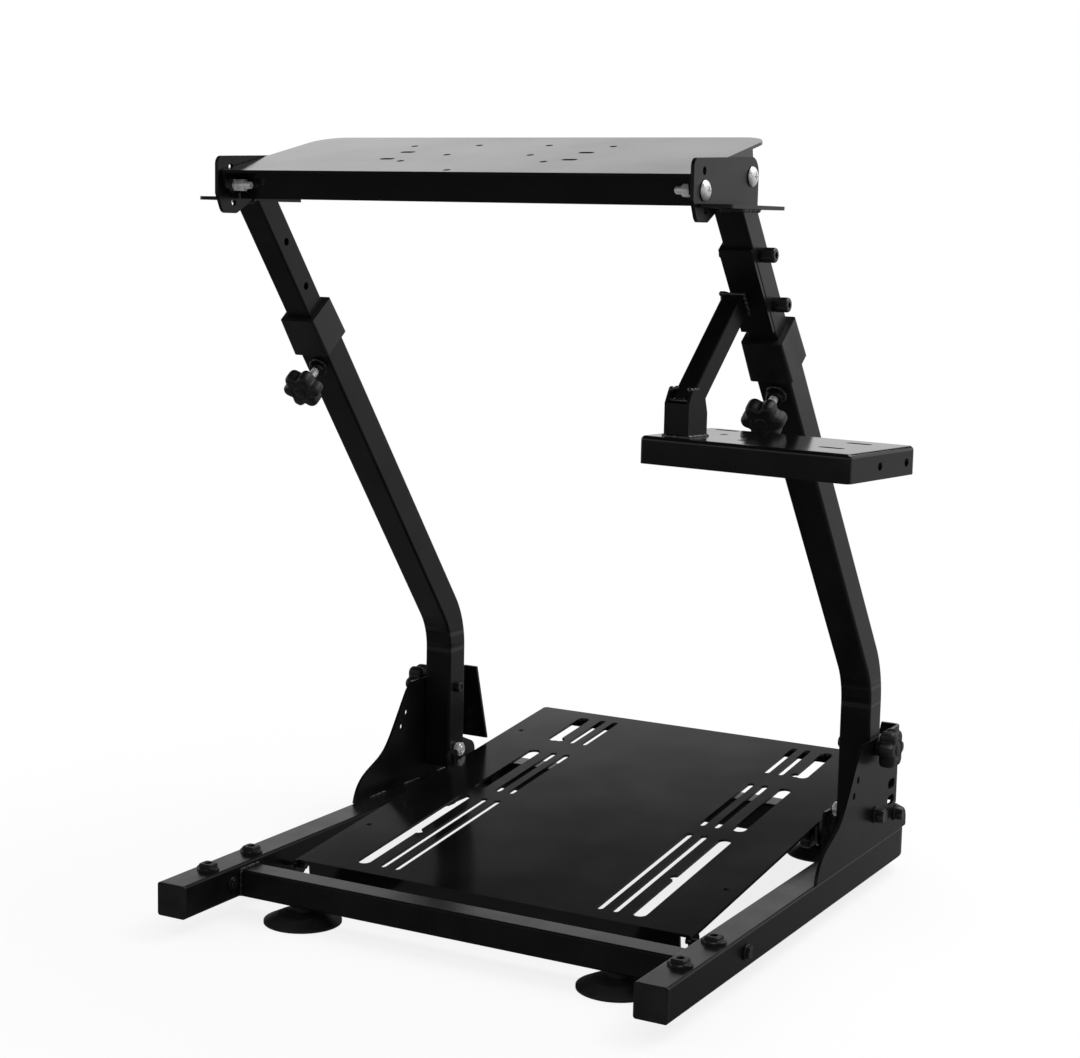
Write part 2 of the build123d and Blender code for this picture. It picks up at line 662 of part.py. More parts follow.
# The whole stand is set with its origin on the floor, under the middle of its box
box = Compound(children=[Compound(shape.solids()) for shape in parts.values()]).bounding_box()
to_origin = Pos(-(box.min.X + box.max.X) / 2, -(box.min.Y + box.max.Y) / 2, -box.min.Z)

os.makedirs("parts", exist_ok=True)
for name, shape in parts.items():
    export_step(to_origin * shape, "parts/" + name + ".step")
print("origin shift", to_origin.position)
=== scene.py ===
import bpy
import bmesh
import json
import math
from mathutils import Matrix, Vector


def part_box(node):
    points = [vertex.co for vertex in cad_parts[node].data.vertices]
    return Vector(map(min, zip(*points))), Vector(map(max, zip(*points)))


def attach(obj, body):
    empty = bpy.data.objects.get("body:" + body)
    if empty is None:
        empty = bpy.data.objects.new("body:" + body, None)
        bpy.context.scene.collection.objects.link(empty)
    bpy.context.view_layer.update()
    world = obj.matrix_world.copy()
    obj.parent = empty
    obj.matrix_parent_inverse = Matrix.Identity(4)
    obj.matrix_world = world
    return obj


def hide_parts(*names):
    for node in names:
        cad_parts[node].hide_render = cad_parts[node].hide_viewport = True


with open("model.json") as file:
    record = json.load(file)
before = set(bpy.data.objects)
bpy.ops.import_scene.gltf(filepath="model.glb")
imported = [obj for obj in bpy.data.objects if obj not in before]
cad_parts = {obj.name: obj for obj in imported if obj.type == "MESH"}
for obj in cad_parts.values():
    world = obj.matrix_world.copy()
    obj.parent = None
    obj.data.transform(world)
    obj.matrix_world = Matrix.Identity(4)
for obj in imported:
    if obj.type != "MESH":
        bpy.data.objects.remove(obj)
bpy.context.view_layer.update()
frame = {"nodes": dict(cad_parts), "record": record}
scene = bpy.context.scene
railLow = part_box("right_rail")[0]
originShift = Vector((railLow.x - 0.2175, railLow.y, 0.0))  # drawing millimetres to the frame's metres


def spot(x, y, z):
    return Vector((x, y, z)) / 1000 + originShift


# Camera, from the photograph's vanishing lines

cameraView = {
    "place": (911.0, -1429.8, 622.3),
    "azimuth": 0.5024,
    "pitch": 0.1415,
    "roll": 0.0213,
    "focalPixels": 2140.4,
    "imageWidth": 1080,
}


def addCamera(view):
    turn, dip, roll = view["azimuth"], view["pitch"], view["roll"]
    ahead = Vector((-math.sin(turn) * math.cos(dip), math.cos(turn) * math.cos(dip), -math.sin(dip)))
    level = Vector((math.cos(turn), math.sin(turn), 0.0))
    rise = level.cross(ahead)
    right = math.cos(roll) * level + math.sin(roll) * rise
    up = math.cos(roll) * rise - math.sin(roll) * level
    camera = bpy.data.objects.new("camera", bpy.data.cameras.new("camera"))
    scene.collection.objects.link(camera)
    axes = Matrix((right, up, -ahead)).transposed().to_4x4()
    camera.matrix_world = Matrix.Translation(spot(*view["place"])) @ axes
    camera.data.sensor_fit = "HORIZONTAL"
    camera.data.sensor_width = 36.0
    camera.data.lens = view["focalPixels"] / view["imageWidth"] * 36.0
    scene.camera = camera
    return ahead


viewAhead = addCamera(cameraView)
scene.view_settings.view_transform = "Standard"
print("camera set")


# Node helpers

def newTree(material):
    material.use_nodes = True
    tree = material.node_tree
    return tree, tree.nodes["Principled BSDF"]


def addNode(tree, kind, **settings):
    node = tree.nodes.new(kind)
    for key, value in settings.items():
        setattr(node, key, value)
    return node


def join(tree, source, target):
    tree.links.new(source, target)


def addNoise(tree, scale, detail=3.0, stretch=(1, 1, 1)):
    coords = addNode(tree, "ShaderNodeTexCoord")
    mapping = addNode(tree, "ShaderNodeMapping")
    mapping.inputs["Scale"].default_value = stretch
    noise = addNode(tree, "ShaderNodeTexNoise")
    noise.inputs["Scale"].default_value = scale
    noise.inputs["Detail"].default_value = detail
    join(tree, coords.outputs["Object"], mapping.inputs["Vector"])
    join(tree, mapping.outputs["Vector"], noise.inputs["Vector"])
    return noise.outputs["Fac"]


def addFade(tree, fromRange, toRange, interpolation="LINEAR"):
    fade = addNode(tree, "ShaderNodeMapRange", interpolation_type=interpolation)
    for label, value in zip(("From Min", "From Max", "To Min", "To Max"), (*fromRange, *toRange)):
        fade.inputs[label].default_value = value
    return fade


def addRange(tree, value, low, high):
    ranged = addFade(tree, (0.3, 0.7), (low, high))  # noise seldom leaves the span 0.3 to 0.7
    join(tree, value, ranged.inputs["Value"])
    return ranged.outputs["Result"]


def addTone(tree, value, dark, light):
    ramp = addNode(tree, "ShaderNodeValToRGB")
    ramp.color_ramp.elements[0].position = 0.35
    ramp.color_ramp.elements[1].position = 0.68
    ramp.color_ramp.elements[0].color = (*dark, 1)
    ramp.color_ramp.elements[1].color = (*light, 1)
    join(tree, value, ramp.inputs["Fac"])
    return ramp.outputs["Color"]


def addBump(tree, height, strength, depth, below=None):
    bump = addNode(tree, "ShaderNodeBump")
    bump.inputs["Strength"].default_value = strength
    bump.inputs["Distance"].default_value = depth
    join(tree, height, bump.inputs["Height"])
    if below is not None:
        join(tree, below, bump.inputs["Normal"])
    return bump.outputs["Normal"]


# Finishes: tone low and high, roughness low and high, grain size and depth

finishes = {
    "frame_paint": {"dark": (0.0028, 0.0028, 0.0031), "light": (0.0050, 0.0050, 0.0055), "rough": (0.26, 0.34),
                    "gloss": 0.2, "grain": 1500.0, "grainDepth": 0.00006, "patch": 22.0},
    "plate_paint": {"dark": (0.0026, 0.0026, 0.0028), "light": (0.0042, 0.0042, 0.0045), "rough": (0.10, 0.15),
                    "gloss": 0.48, "grain": 900.0, "grainDepth": 0.00002, "patch": 14.0},
    "moulded_black": {"dark": (0.0040, 0.0040, 0.0042), "light": (0.0075, 0.0075, 0.0078), "rough": (0.38, 0.5),
                      "gloss": 0.4, "grain": 2600.0, "grainDepth": 0.00012, "patch": 60.0},
    "foot_rubber": {"dark": (0.0060, 0.0060, 0.0060), "light": (0.0105, 0.0105, 0.0105), "rough": (0.5, 0.64),
                    "gloss": 0.35, "grain": 2000.0, "grainDepth": 0.00010, "patch": 80.0},
    "weld_paint": {"dark": (0.0035, 0.0035, 0.0037), "light": (0.0060, 0.0060, 0.0064), "rough": (0.05, 0.11),
                   "gloss": 0.85, "grain": 1200.0, "grainDepth": 0.00004, "patch": 120.0},
    "dark_bolt": {"dark": (0.0045, 0.0045, 0.0050), "light": (0.0085, 0.0085, 0.0092), "rough": (0.24, 0.36),
                  "gloss": 0.5, "grain": 1800.0, "grainDepth": 0.00005, "patch": 160.0},
}
zincFinish = {"dark": (0.66, 0.66, 0.65), "light": (0.90, 0.90, 0.89), "rough": (0.28, 0.42), "patch": 240.0,
              "brush": (1.0, 6.0, 6.0), "brushDepth": 0.00005, "metal": 0.62}


def paintFinish(name, look):
    material = bpy.data.materials.new(name)
    tree, shader = newTree(material)
    patches = addNoise(tree, look["patch"], 4.0)
    grain = addNoise(tree, look["grain"], 2.0)
    join(tree, addTone(tree, patches, look["dark"], look["light"]), shader.inputs["Base Color"])
    join(tree, addRange(tree, patches, *look["rough"]), shader.inputs["Roughness"])
    join(tree, addBump(tree, grain, 0.5, look["grainDepth"]), shader.inputs["Normal"])
    shader.inputs["Specular IOR Level"].default_value = look["gloss"]
    return material


def pressedFinish(name, look):  # tube paint with the two press marks of the bend
    marks = {"levels": (186.0, 203.0), "halfWidth": 5.5, "depth": 0.0022}
    material = paintFinish(name, look)
    tree, shader = material.node_tree, material.node_tree.nodes["Principled BSDF"]
    below = shader.inputs["Normal"].links[0].from_socket
    coords = addNode(tree, "ShaderNodeTexCoord")
    split = addNode(tree, "ShaderNodeSeparateXYZ")
    join(tree, coords.outputs["Object"], split.inputs["Vector"])
    total = None
    for level in marks["levels"]:
        offset = addNode(tree, "ShaderNodeMath", operation="SUBTRACT")
        offset.inputs[1].default_value = level / 1000
        away = addNode(tree, "ShaderNodeMath", operation="ABSOLUTE")
        dip = addFade(tree, (0.0, marks["halfWidth"] / 1000), (0.0, 1.0), "SMOOTHSTEP")
        join(tree, split.outputs["Z"], offset.inputs[0])
        join(tree, offset.outputs[0], away.inputs[0])
        join(tree, away.outputs[0], dip.inputs["Value"])
        if total is None:
            total = dip.outputs["Result"]
        else:
            both = addNode(tree, "ShaderNodeMath", operation="ADD")
            join(tree, total, both.inputs[0])
            join(tree, dip.outputs["Result"], both.inputs[1])
            total = both.outputs[0]
    join(tree, addBump(tree, total, 0.6, marks["depth"], below), shader.inputs["Normal"])
    return material


def zincPlate(name, look):
    material = bpy.data.materials.new(name)
    tree, shader = newTree(material)
    brushed = addNoise(tree, look["patch"], 3.0, look["brush"])
    join(tree, addTone(tree, brushed, look["dark"], look["light"]), shader.inputs["Base Color"])
    join(tree, addRange(tree, brushed, *look["rough"]), shader.inputs["Roughness"])
    join(tree, addBump(tree, brushed, 0.25, look["brushDepth"]), shader.inputs["Normal"])
    shader.inputs["Metallic"].default_value = look["metal"]
    return material


slotMaterials = {slot: paintFinish(slot, look) for slot, look in finishes.items()}
slotMaterials["zinc_bolt"] = zincPlate("zinc_bolt", zincFinish)
uprightPaint = pressedFinish("upright_paint", finishes["frame_paint"])
slotOf = {part["node"]: part["material_slot"] for part in frame["record"]["subparts"]}
for name, node in frame["nodes"].items():
    node.data.materials.clear()
    node.data.materials.append(uprightPaint if name.endswith("_upright") else slotMaterials[slotOf[name]])
print("finishes on", len(frame["nodes"]), "nodes")


# Turned pieces: rings of a radius rule at rising heights, closed at both ends

def roundRing(radius):
    return lambda angle: radius


def hexRing(acrossFlats, limit=None):
    def rule(angle):
        part = (angle % (math.pi / 3)) - math.pi / 6
        radius = acrossFlats / 2 / math.cos(part)
        return radius if limit is None else min(radius, limit)
    return rule


def lobeRing(radius, lobes, depth):
    return lambda angle: radius - depth * (0.5 - 0.5 * math.cos(lobes * angle)) ** 1.5


def squareRing(half):
    return lambda angle: half / (abs(math.cos(angle)) ** 5 + abs(math.sin(angle)) ** 5) ** 0.2


def scaledRing(rule, scale):
    return lambda angle: rule(angle) * scale


def crossRing(armLength, armWidth):
    def rule(angle):
        c, s = max(abs(math.cos(angle)), 1e-6), max(abs(math.sin(angle)), 1e-6)
        return max(min(armLength / c, armWidth / s), min(armLength / s, armWidth / c))
    return rule


def turned(mesh, levels, segments, seat):
    rings = []
    for height, rule in levels:
        ring = []
        for step in range(segments):
            angle = 2 * math.pi * step / segments
            radius = rule(angle)
            point = Vector((radius * math.cos(angle), radius * math.sin(angle), height)) / 1000
            ring.append(mesh.verts.new(seat @ point))
        rings.append(ring)
    for lower, upper in zip(rings, rings[1:]):
        for step in range(segments):
            after = (step + 1) % segments
            mesh.faces.new((lower[step], lower[after], upper[after], upper[step]))
    for ring, height, flip in ((rings[0], levels[0][0], True), (rings[-1], levels[-1][0], False)):
        middle = mesh.verts.new(seat @ (Vector((0, 0, height)) / 1000))
        for step in range(segments):
            after = (step + 1) % segments
            corners = (ring[after], ring[step], middle) if flip else (ring[step], ring[after], middle)
            mesh.faces.new(corners)


def seatAt(place, axis):
    out = Vector(axis).normalized()
    across = Vector((1, 0, 0)) if abs(out.x) < 0.9 else Vector((0, 1, 0))
    side = (across - out * across.dot(out)).normalized()
    turn = Matrix((side, out.cross(side), out)).transposed().to_4x4()
    return Matrix.Translation(place) @ turn


def finishPiece(name, mesh, body, slot, smoothAngle=35.0, material=None):
    bmesh.ops.recalc_face_normals(mesh, faces=mesh.faces)
    data = bpy.data.meshes.new(name)
    mesh.to_mesh(data)
    mesh.free()
    return dressPiece(name, data, body, slot, smoothAngle, material)


def dressPiece(name, data, body, slot, smoothAngle, material=None):
    data.materials.clear()
    data.materials.append(material or slotMaterials[slot])
    data.shade_smooth()
    data.set_sharp_from_angle(angle=math.radians(smoothAngle))
    piece = bpy.data.objects.new(name, data)
    scene.collection.objects.link(piece)
    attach(piece, body)
    return piece


# Star knobs: six rounded lobes, a dished crown and a hub

starKnob = {"radius": 19.0, "thickness": 15.0, "lobes": 6, "lobeDepth": 4.6, "hub": 9.0, "hubLength": 5.0,
            "segments": 96, "smallScale": 0.7}


def addKnob(mesh, seat, scale=1.0):
    radius, depth = starKnob["radius"], starKnob["lobeDepth"]
    thick, hub = starKnob["thickness"], starKnob["hub"]
    profile = (  # height share, inset from the rim, share of the lobe depth
        (0.0, 2.6, 0.9), (0.04, 1.3, 1.0), (0.13, 0.35, 1.0), (0.28, 0.0, 1.0), (0.66, 0.0, 1.0),
        (0.82, 0.5, 1.0), (0.93, 1.7, 1.0), (0.985, 3.4, 0.9), (1.0, 5.2, 0.75),
    )
    levels = [(-starKnob["hubLength"], roundRing(hub - 0.8)), (-starKnob["hubLength"] + 0.8, roundRing(hub)),
              (-0.2, roundRing(hub))]
    for share, inset, lobe in profile:
        levels.append((share * thick, lobeRing(radius - inset, starKnob["lobes"], depth * lobe)))
    levels += [(thick, roundRing(9.2)), (thick - 0.7, roundRing(8.4)), (thick - 0.7, roundRing(6.4)),
               (thick + 0.2, roundRing(5.6)), (thick + 0.7, roundRing(3.4))]
    levels = [(height * scale, scaledRing(rule, scale)) for height, rule in levels]
    turned(mesh, levels, starKnob["segments"], seat)


def addGrip(name, place, axis, body, scale=1.0):
    mesh = bmesh.new()
    addKnob(mesh, seatAt(place, axis), scale)
    return finishPiece(name, mesh, body, "moulded_black")


heightKnob = {"lean": 37.7, "bend": (446.0, 209.4), "reach": 363.0, "halfTube": 15.0, "tubeX": 229.0,
              "rod": 24.0, "rodGap": 4.0, "rodScale": 1.18, "nutAcross": 13.8, "nutHeight": 7.0, "nutBore": 3.8}
foldKnob = {"y": 446.0, "z": 143.0, "gripX": 252.8}
pedalKnob = {"y": 427.0, "tabX": 199.0, "standOff": 5.3, "drop": 16.5,
             "nearY": 141.4, "nearZ": 37.3, "tilt": 6.5}  # near edge and slope of the pedal plate

lean = math.radians(heightKnob["lean"])
tubeUp = Vector((0, -math.sin(lean), math.cos(lean)))
tubeFront = Vector((0, -math.cos(lean), -math.sin(lean)))


def onTube(sign, reach, front=0.0, out=0.0):
    bendY, bendZ = heightKnob["bend"]
    place = Vector((sign * (heightKnob["tubeX"] + out), bendY, bendZ)) + tubeUp * reach + tubeFront * front
    return spot(*place)


sides = (("left", -1), ("right", 1))
pedalSlope = math.tan(math.radians(pedalKnob["tilt"]))
pedalTop = pedalKnob["nearZ"] + (pedalKnob["y"] - pedalKnob["nearY"]) * pedalSlope
pedalKnobZ = pedalTop - pedalKnob["drop"]
for side, sign in sides:
    place = onTube(sign, heightKnob["reach"], heightKnob["halfTube"] + heightKnob["rod"])
    knob = addGrip(side + "HeightGrip", place, tubeFront, "uprights")
    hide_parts(side + "_height_knob")
    place = spot(sign * foldKnob["gripX"], foldKnob["y"], foldKnob["z"])
    knob = addGrip(side + "FoldGrip", place, (sign, 0, 0), "base")
    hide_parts(side + "_fold_knob")
    place = spot(sign * (pedalKnob["tabX"] - pedalKnob["standOff"]), pedalKnob["y"], pedalKnobZ)
    knob = addGrip(side + "PedalGrip", place, (-sign, 0, 0), "pedal_plate", starKnob["smallScale"])
    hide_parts(side + "_pedal_knob")
print("star knobs made")


# Anchor sockets: a low lobed foot and a raised square boss with a hole

anchorSocket = {"x": 232.5, "railTop": 46.0, "near": 50.0, "far": 114.0, "foot": 11.0, "lobe": 2.0,
                "footHeight": 2.7, "boss": 6.9, "height": 6.0, "hole": 3.3}


def addSocket(mesh, seat, sizes):
    foot, lobe, hole = sizes["foot"], sizes["lobe"], sizes["hole"]
    step, boss, top = sizes["footHeight"], sizes["boss"], sizes["height"]
    turned(mesh, (
        (0.0, lobeRing(foot, 4, lobe)), (step - 0.8, lobeRing(foot, 4, lobe)),
        (step - 0.2, lobeRing(foot - 0.6, 4, lobe)), (step, lobeRing(foot - 1.3, 4, lobe)),
        (step + 0.1, squareRing(boss + 0.5)), (step + 0.5, squareRing(boss)),
        (top - 0.7, squareRing(boss - 0.2)), (top - 0.1, squareRing(boss - 0.8)), (top, squareRing(boss - 1.4)),
        (top, roundRing(hole + 0.4)), (top - 0.4, roundRing(hole)), (0.4, roundRing(hole)),
    ), 64, seat)


for side, sign in sides:
    for label in ("near", "far"):
        mesh = bmesh.new()
        foot = spot(sign * anchorSocket["x"], anchorSocket[label], anchorSocket["railTop"])
        addSocket(mesh, seatAt(foot, (0, 0, 1)), anchorSocket)
        socket = finishPiece(side + label.capitalize() + "Socket", mesh, "base", "moulded_black")
        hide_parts(side + "_" + label + "_anchor")
print("anchor sockets made")


# Threaded rods by Geometry Nodes: a core and a helical thread

threadSizes = {"core": 2.6, "ridge": 0.62, "pitch": 1.0, "segments": 20}


def addInput(tree, name, kind, value):
    socket = tree.interface.new_socket(name, in_out="INPUT", socket_type=kind)
    socket.default_value = value
    return socket


def threadTree():
    tree = bpy.data.node_groups.new("threadedRod", "GeometryNodeTree")
    for name, value in (("Length", 0.03), ("Core", 0.0026), ("Ridge", 0.0006), ("Turns", 20.0)):
        addInput(tree, name, "NodeSocketFloat", value)
    addInput(tree, "Finish", "NodeSocketMaterial", None)
    tree.interface.new_socket("Geometry", in_out="OUTPUT", socket_type="NodeSocketGeometry")
    given = addNode(tree, "NodeGroupInput")
    core = addNode(tree, "GeometryNodeMeshCylinder")
    core.inputs["Vertices"].default_value = threadSizes["segments"]
    lift = addNode(tree, "GeometryNodeTransform")
    half = addNode(tree, "ShaderNodeMath", operation="MULTIPLY")
    half.inputs[1].default_value = 0.5
    offset = addNode(tree, "ShaderNodeCombineXYZ")
    helix = addNode(tree, "GeometryNodeCurveSpiral")
    helix.inputs["Resolution"].default_value = threadSizes["segments"]
    ridge = addNode(tree, "GeometryNodeCurvePrimitiveCircle")
    ridge.inputs["Resolution"].default_value = 6
    sweep = addNode(tree, "GeometryNodeCurveToMesh")
    sweep.inputs["Fill Caps"].default_value = True
    together = addNode(tree, "GeometryNodeJoinGeometry")
    realize = addNode(tree, "GeometryNodeRealizeInstances")
    paint = addNode(tree, "GeometryNodeSetMaterial")
    result = addNode(tree, "NodeGroupOutput")
    join(tree, given.outputs["Core"], core.inputs["Radius"])
    join(tree, given.outputs["Length"], core.inputs["Depth"])
    join(tree, given.outputs["Length"], half.inputs[0])
    join(tree, half.outputs[0], offset.inputs["Z"])
    join(tree, core.outputs["Mesh"], lift.inputs["Geometry"])
    join(tree, offset.outputs["Vector"], lift.inputs["Translation"])
    join(tree, given.outputs["Turns"], helix.inputs["Rotations"])
    join(tree, given.outputs["Core"], helix.inputs["Start Radius"])
    join(tree, given.outputs["Core"], helix.inputs["End Radius"])
    join(tree, given.outputs["Length"], helix.inputs["Height"])
    join(tree, given.outputs["Ridge"], ridge.inputs["Radius"])
    join(tree, helix.outputs["Curve"], sweep.inputs["Curve"])
    join(tree, ridge.outputs["Curve"], sweep.inputs["Profile Curve"])
    join(tree, lift.outputs["Geometry"], together.inputs["Geometry"])
    join(tree, sweep.outputs["Mesh"], together.inputs["Geometry"])
    join(tree, together.outputs["Geometry"], realize.inputs["Geometry"])
    join(tree, realize.outputs["Geometry"], paint.inputs["Geometry"])
    join(tree, given.outputs["Finish"], paint.inputs["Material"])
    join(tree, paint.outputs["Geometry"], result.inputs["Geometry"])
    return tree


def treeMesh(tree, values, carrier=None):
    holder = bpy.data.objects.new("maker", carrier or bpy.data.meshes.new("maker"))
    scene.collection.objects.link(holder)
    modifier = holder.modifiers.new("maker", "NODES")
    modifier.node_group = tree
    for item in tree.interface.items_tree:
        if item.item_type == "SOCKET" and item.in_out == "INPUT" and item.name in values:
            modifier[item.identifier] = values[item.name]
    bpy.context.view_layer.update()
    ready = holder.evaluated_get(bpy.context.evaluated_depsgraph_get())
    data = bpy.data.meshes.new_from_object(ready)
    holder.modifiers.remove(modifier)
    bpy.data.objects.remove(holder)
    return data


rodTree = threadTree()


def addThread(mesh, seat, length, scale=1.0):
    data = treeMesh(rodTree, {
        "Length": length / 1000,
        "Core": threadSizes["core"] * scale / 1000,
        "Ridge": threadSizes["ridge"] * scale / 1000,
        "Turns": length / threadSizes["pitch"],
        "Finish": slotMaterials["zinc_bolt"],
    })
    data.transform(seat)
    mesh.from_mesh(data)
    bpy.data.meshes.remove(data)


# Fasteners

def addShank(mesh, seat, radius, length, segments=32):
    turned(mesh, ((0.0, roundRing(radius)), (length, roundRing(radius))), segments, seat)


def addNut(mesh, seat, across, height, bore=3.0):
    flats = hexRing(across, across * 0.56)
    turned(mesh, (
        (0.0, roundRing(across * 0.48)), (height * 0.1, flats), (height * 0.86, flats),
        (height, roundRing(across * 0.475)), (height, roundRing(bore + 0.4)), (height - 1.0, roundRing(bore)),
    ), 72, seat)


def addMushroomHead(mesh, seat, radius=8.2, height=3.6):
    cross = crossRing(2.9, 0.75)
    turned(mesh, (
        (0.0, roundRing(radius - 0.5)), (0.35, roundRing(radius)), (0.9, roundRing(radius - 0.1)),
        (height * 0.55, roundRing(radius * 0.86)), (height * 0.83, roundRing(radius * 0.64)),
        (height * 0.96, roundRing(radius * 0.46)), (height, cross), (height - 1.9, crossRing(2.3, 0.6)),
    ), 96, seat)


def addCapHead(mesh, seat, radius=6.0, height=12.0):
    knurl = lobeRing(radius, 36, 0.35)
    turned(mesh, (
        (0.0, roundRing(radius - 0.5)), (0.5, roundRing(radius - 0.1)), (1.2, knurl), (height - 1.6, knurl),
        (height - 1.0, roundRing(radius - 0.2)), (height - 0.3, roundRing(radius - 0.7)),
        (height, roundRing(radius - 1.3)), (height, hexRing(5.0)), (height - 4.0, hexRing(5.0)),
    ), 144, seat)


def addHexHead(mesh, seat, sizes):
    across, height, washer = sizes["across"], sizes["head"], sizes["washer"]
    flats = hexRing(across, across * 0.56)
    turned(mesh, (
        (0.0, roundRing(washer - 0.3)), (0.3, roundRing(washer)), (1.5, roundRing(washer)),
        (1.8, roundRing(washer - 0.3)), (1.8, flats), (height * 0.84, flats),
        (height, roundRing(across * 0.47)), (height - 0.25, roundRing(across * 0.33)),
    ), 72, seat)


tiltBolts = {"pivot": (157.5, 663.0), "arm": 90.0, "droop": 8.3, "headX": 224.3, "shank": 2.9, "nutX": 216.9,
             "nutAcross": 10.0, "nutHeight": 4.2, "lockNutX": 212.6, "lockNutHeight": 6.4, "studEnd": 200.3,
             "pivotStud": 8.0}
droop = math.radians(tiltBolts["droop"])
pivotY, pivotZ = tiltBolts["pivot"]
tiltSpot = (pivotY - tiltBolts["arm"] * math.cos(droop), pivotZ - tiltBolts["arm"] * math.sin(droop))


def addCheekBolt(mesh, sign, y, z, studEnd):
    head = spot(sign * tiltBolts["headX"], y, z)
    addMushroomHead(mesh, seatAt(head, (sign, 0, 0)))
    grip = tiltBolts["headX"] - tiltBolts["nutX"]
    addShank(mesh, seatAt(head, (-sign, 0, 0)), tiltBolts["shank"], grip, 24)
    seat = seatAt(spot(sign * tiltBolts["nutX"], y, z), (-sign, 0, 0))
    addNut(mesh, seat, tiltBolts["nutAcross"], tiltBolts["nutHeight"], tiltBolts["shank"])
    addThread(mesh, seat, tiltBolts["nutX"] - studEnd)


for side, sign in sides:
    mesh = bmesh.new()
    addCheekBolt(mesh, sign, *tiltSpot, tiltBolts["studEnd"])
    lockSeat = seatAt(spot(sign * tiltBolts["lockNutX"], *tiltSpot), (-sign, 0, 0))
    addNut(mesh, lockSeat, tiltBolts["nutAcross"], tiltBolts["lockNutHeight"], tiltBolts["shank"])
    finishPiece(side + "TiltBolt", mesh, "wheel_plate", "zinc_bolt")
    mesh = bmesh.new()
    addCheekBolt(mesh, sign, pivotY, pivotZ, tiltBolts["nutX"] - tiltBolts["pivotStud"])
    bolt = finishPiece(side + "PivotScrew", mesh, "masts", "zinc_bolt")
    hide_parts(side + "_wheel_pivot")
    mesh = bmesh.new()  # threaded rod of the height knob
    rootSeat = seatAt(onTube(sign, heightKnob["reach"], heightKnob["halfTube"]), tubeFront)
    addThread(mesh, rootSeat, heightKnob["rod"] - heightKnob["rodGap"], heightKnob["rodScale"])
    finishPiece(side + "HeightRod", mesh, "uprights", "zinc_bolt")
    mesh = bmesh.new()
    addNut(mesh, rootSeat, heightKnob["nutAcross"], heightKnob["nutHeight"], heightKnob["nutBore"])
    finishPiece(side + "HeightNut", mesh, "uprights", "frame_paint")

shifterBolts = {"first": 446.0, "pitch": 50.0, "headX": 12.7, "headRadius": 6.0, "headLength": 12.0,
                "shank": 2.95, "nutX": 15.7, "nutAcross": 10.0, "nutHeight": 6.0, "shankEnd": 8.0}
for step, label in enumerate(("lower", "upper")):
    mesh = bmesh.new()
    reach = shifterBolts["first"] + step * shifterBolts["pitch"]
    head = onTube(1, reach, 0.0, shifterBolts["headX"])
    addCapHead(mesh, seatAt(head, (1, 0, 0)), shifterBolts["headRadius"], shifterBolts["headLength"])
    nutSeat = seatAt(onTube(1, reach, 0.0, -shifterBolts["nutX"]), (-1, 0, 0))
    addNut(mesh, nutSeat, shifterBolts["nutAcross"], shifterBolts["nutHeight"])
    length = shifterBolts["nutX"] + shifterBolts["headX"] + shifterBolts["shankEnd"]
    addShank(mesh, seatAt(head, (-1, 0, 0)), shifterBolts["shank"], length)
    bolt = finishPiece(label + "ShifterScrew", mesh, "masts", "dark_bolt")
    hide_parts(label + "_shifter_bolt")

pivotBolt = {"faceX": 247.8, "y": 446.0, "z": 77.0, "across": 13.0, "head": 10.0, "washer": 8.0, "shank": 3.9,
             "innerX": 213.6, "nutHeight": 6.4, "nutBore": 4.0, "threadLength": 7.4, "threadScale": 1.25}
pedalBolt = {"faceX": 247.8, "y": 146.0, "z": 31.0, "across": 10.0, "head": 5.0, "washer": 7.0, "shank": 2.95,
             "length": 54.3}
rearBolt = {"faceX": 247.5, "y": 503.0, "z": 65.5, "across": 11.0, "head": 9.0, "washer": 7.4}
railBolt = {"faceX": 217.4, "y": 65.0, "z": 32.0, "across": 8.0, "head": 4.0, "washer": 5.5}
lockNut = {"faceX": 213.9, "y": 446.0, "z": 143.0, "across": 10.0, "height": 4.6, "bore": 3.0}


def onFace(sign, sizes):
    return spot(sign * sizes["faceX"], sizes["y"], sizes["z"])


for side, sign in sides:
    outward, inward = (sign, 0, 0), (-sign, 0, 0)
    mesh = bmesh.new()
    addHexHead(mesh, seatAt(onFace(sign, pivotBolt), outward), pivotBolt)
    length = pivotBolt["faceX"] - pivotBolt["innerX"]
    addShank(mesh, seatAt(onFace(sign, pivotBolt), inward), pivotBolt["shank"], length)
    bolt = finishPiece(side + "PivotBolt", mesh, "base", "dark_bolt")
    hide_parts(side + "_pivot_bolt")
    mesh = bmesh.new()
    innerSeat = seatAt(spot(sign * pivotBolt["innerX"], pivotBolt["y"], pivotBolt["z"]), inward)
    addNut(mesh, innerSeat, pivotBolt["across"], pivotBolt["nutHeight"], pivotBolt["nutBore"])
    addThread(mesh, innerSeat, pivotBolt["threadLength"], pivotBolt["threadScale"])
    finishPiece(side + "PivotNut", mesh, "base", "zinc_bolt")
    mesh = bmesh.new()
    addHexHead(mesh, seatAt(onFace(sign, pedalBolt), outward), pedalBolt)
    addShank(mesh, seatAt(onFace(sign, pedalBolt), inward), pedalBolt["shank"], pedalBolt["length"])
    bolt = finishPiece(side + "PedalBolt", mesh, "base", "dark_bolt")
    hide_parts(side + "_pedal_bolt")
    mesh = bmesh.new()
    addHexHead(mesh, seatAt(onFace(sign, rearBolt), outward), rearBolt)
    addHexHead(mesh, seatAt(onFace(sign, railBolt), inward), railBolt)
    finishPiece(side + "FrameBolts", mesh, "base", "dark_bolt")
    mesh = bmesh.new()
    addNut(mesh, seatAt(onFace(sign, lockNut), inward), lockNut["across"], lockNut["height"], lockNut["bore"])
    finishPiece(side + "LockNut", mesh, "uprights", "dark_bolt")
print("fasteners made")


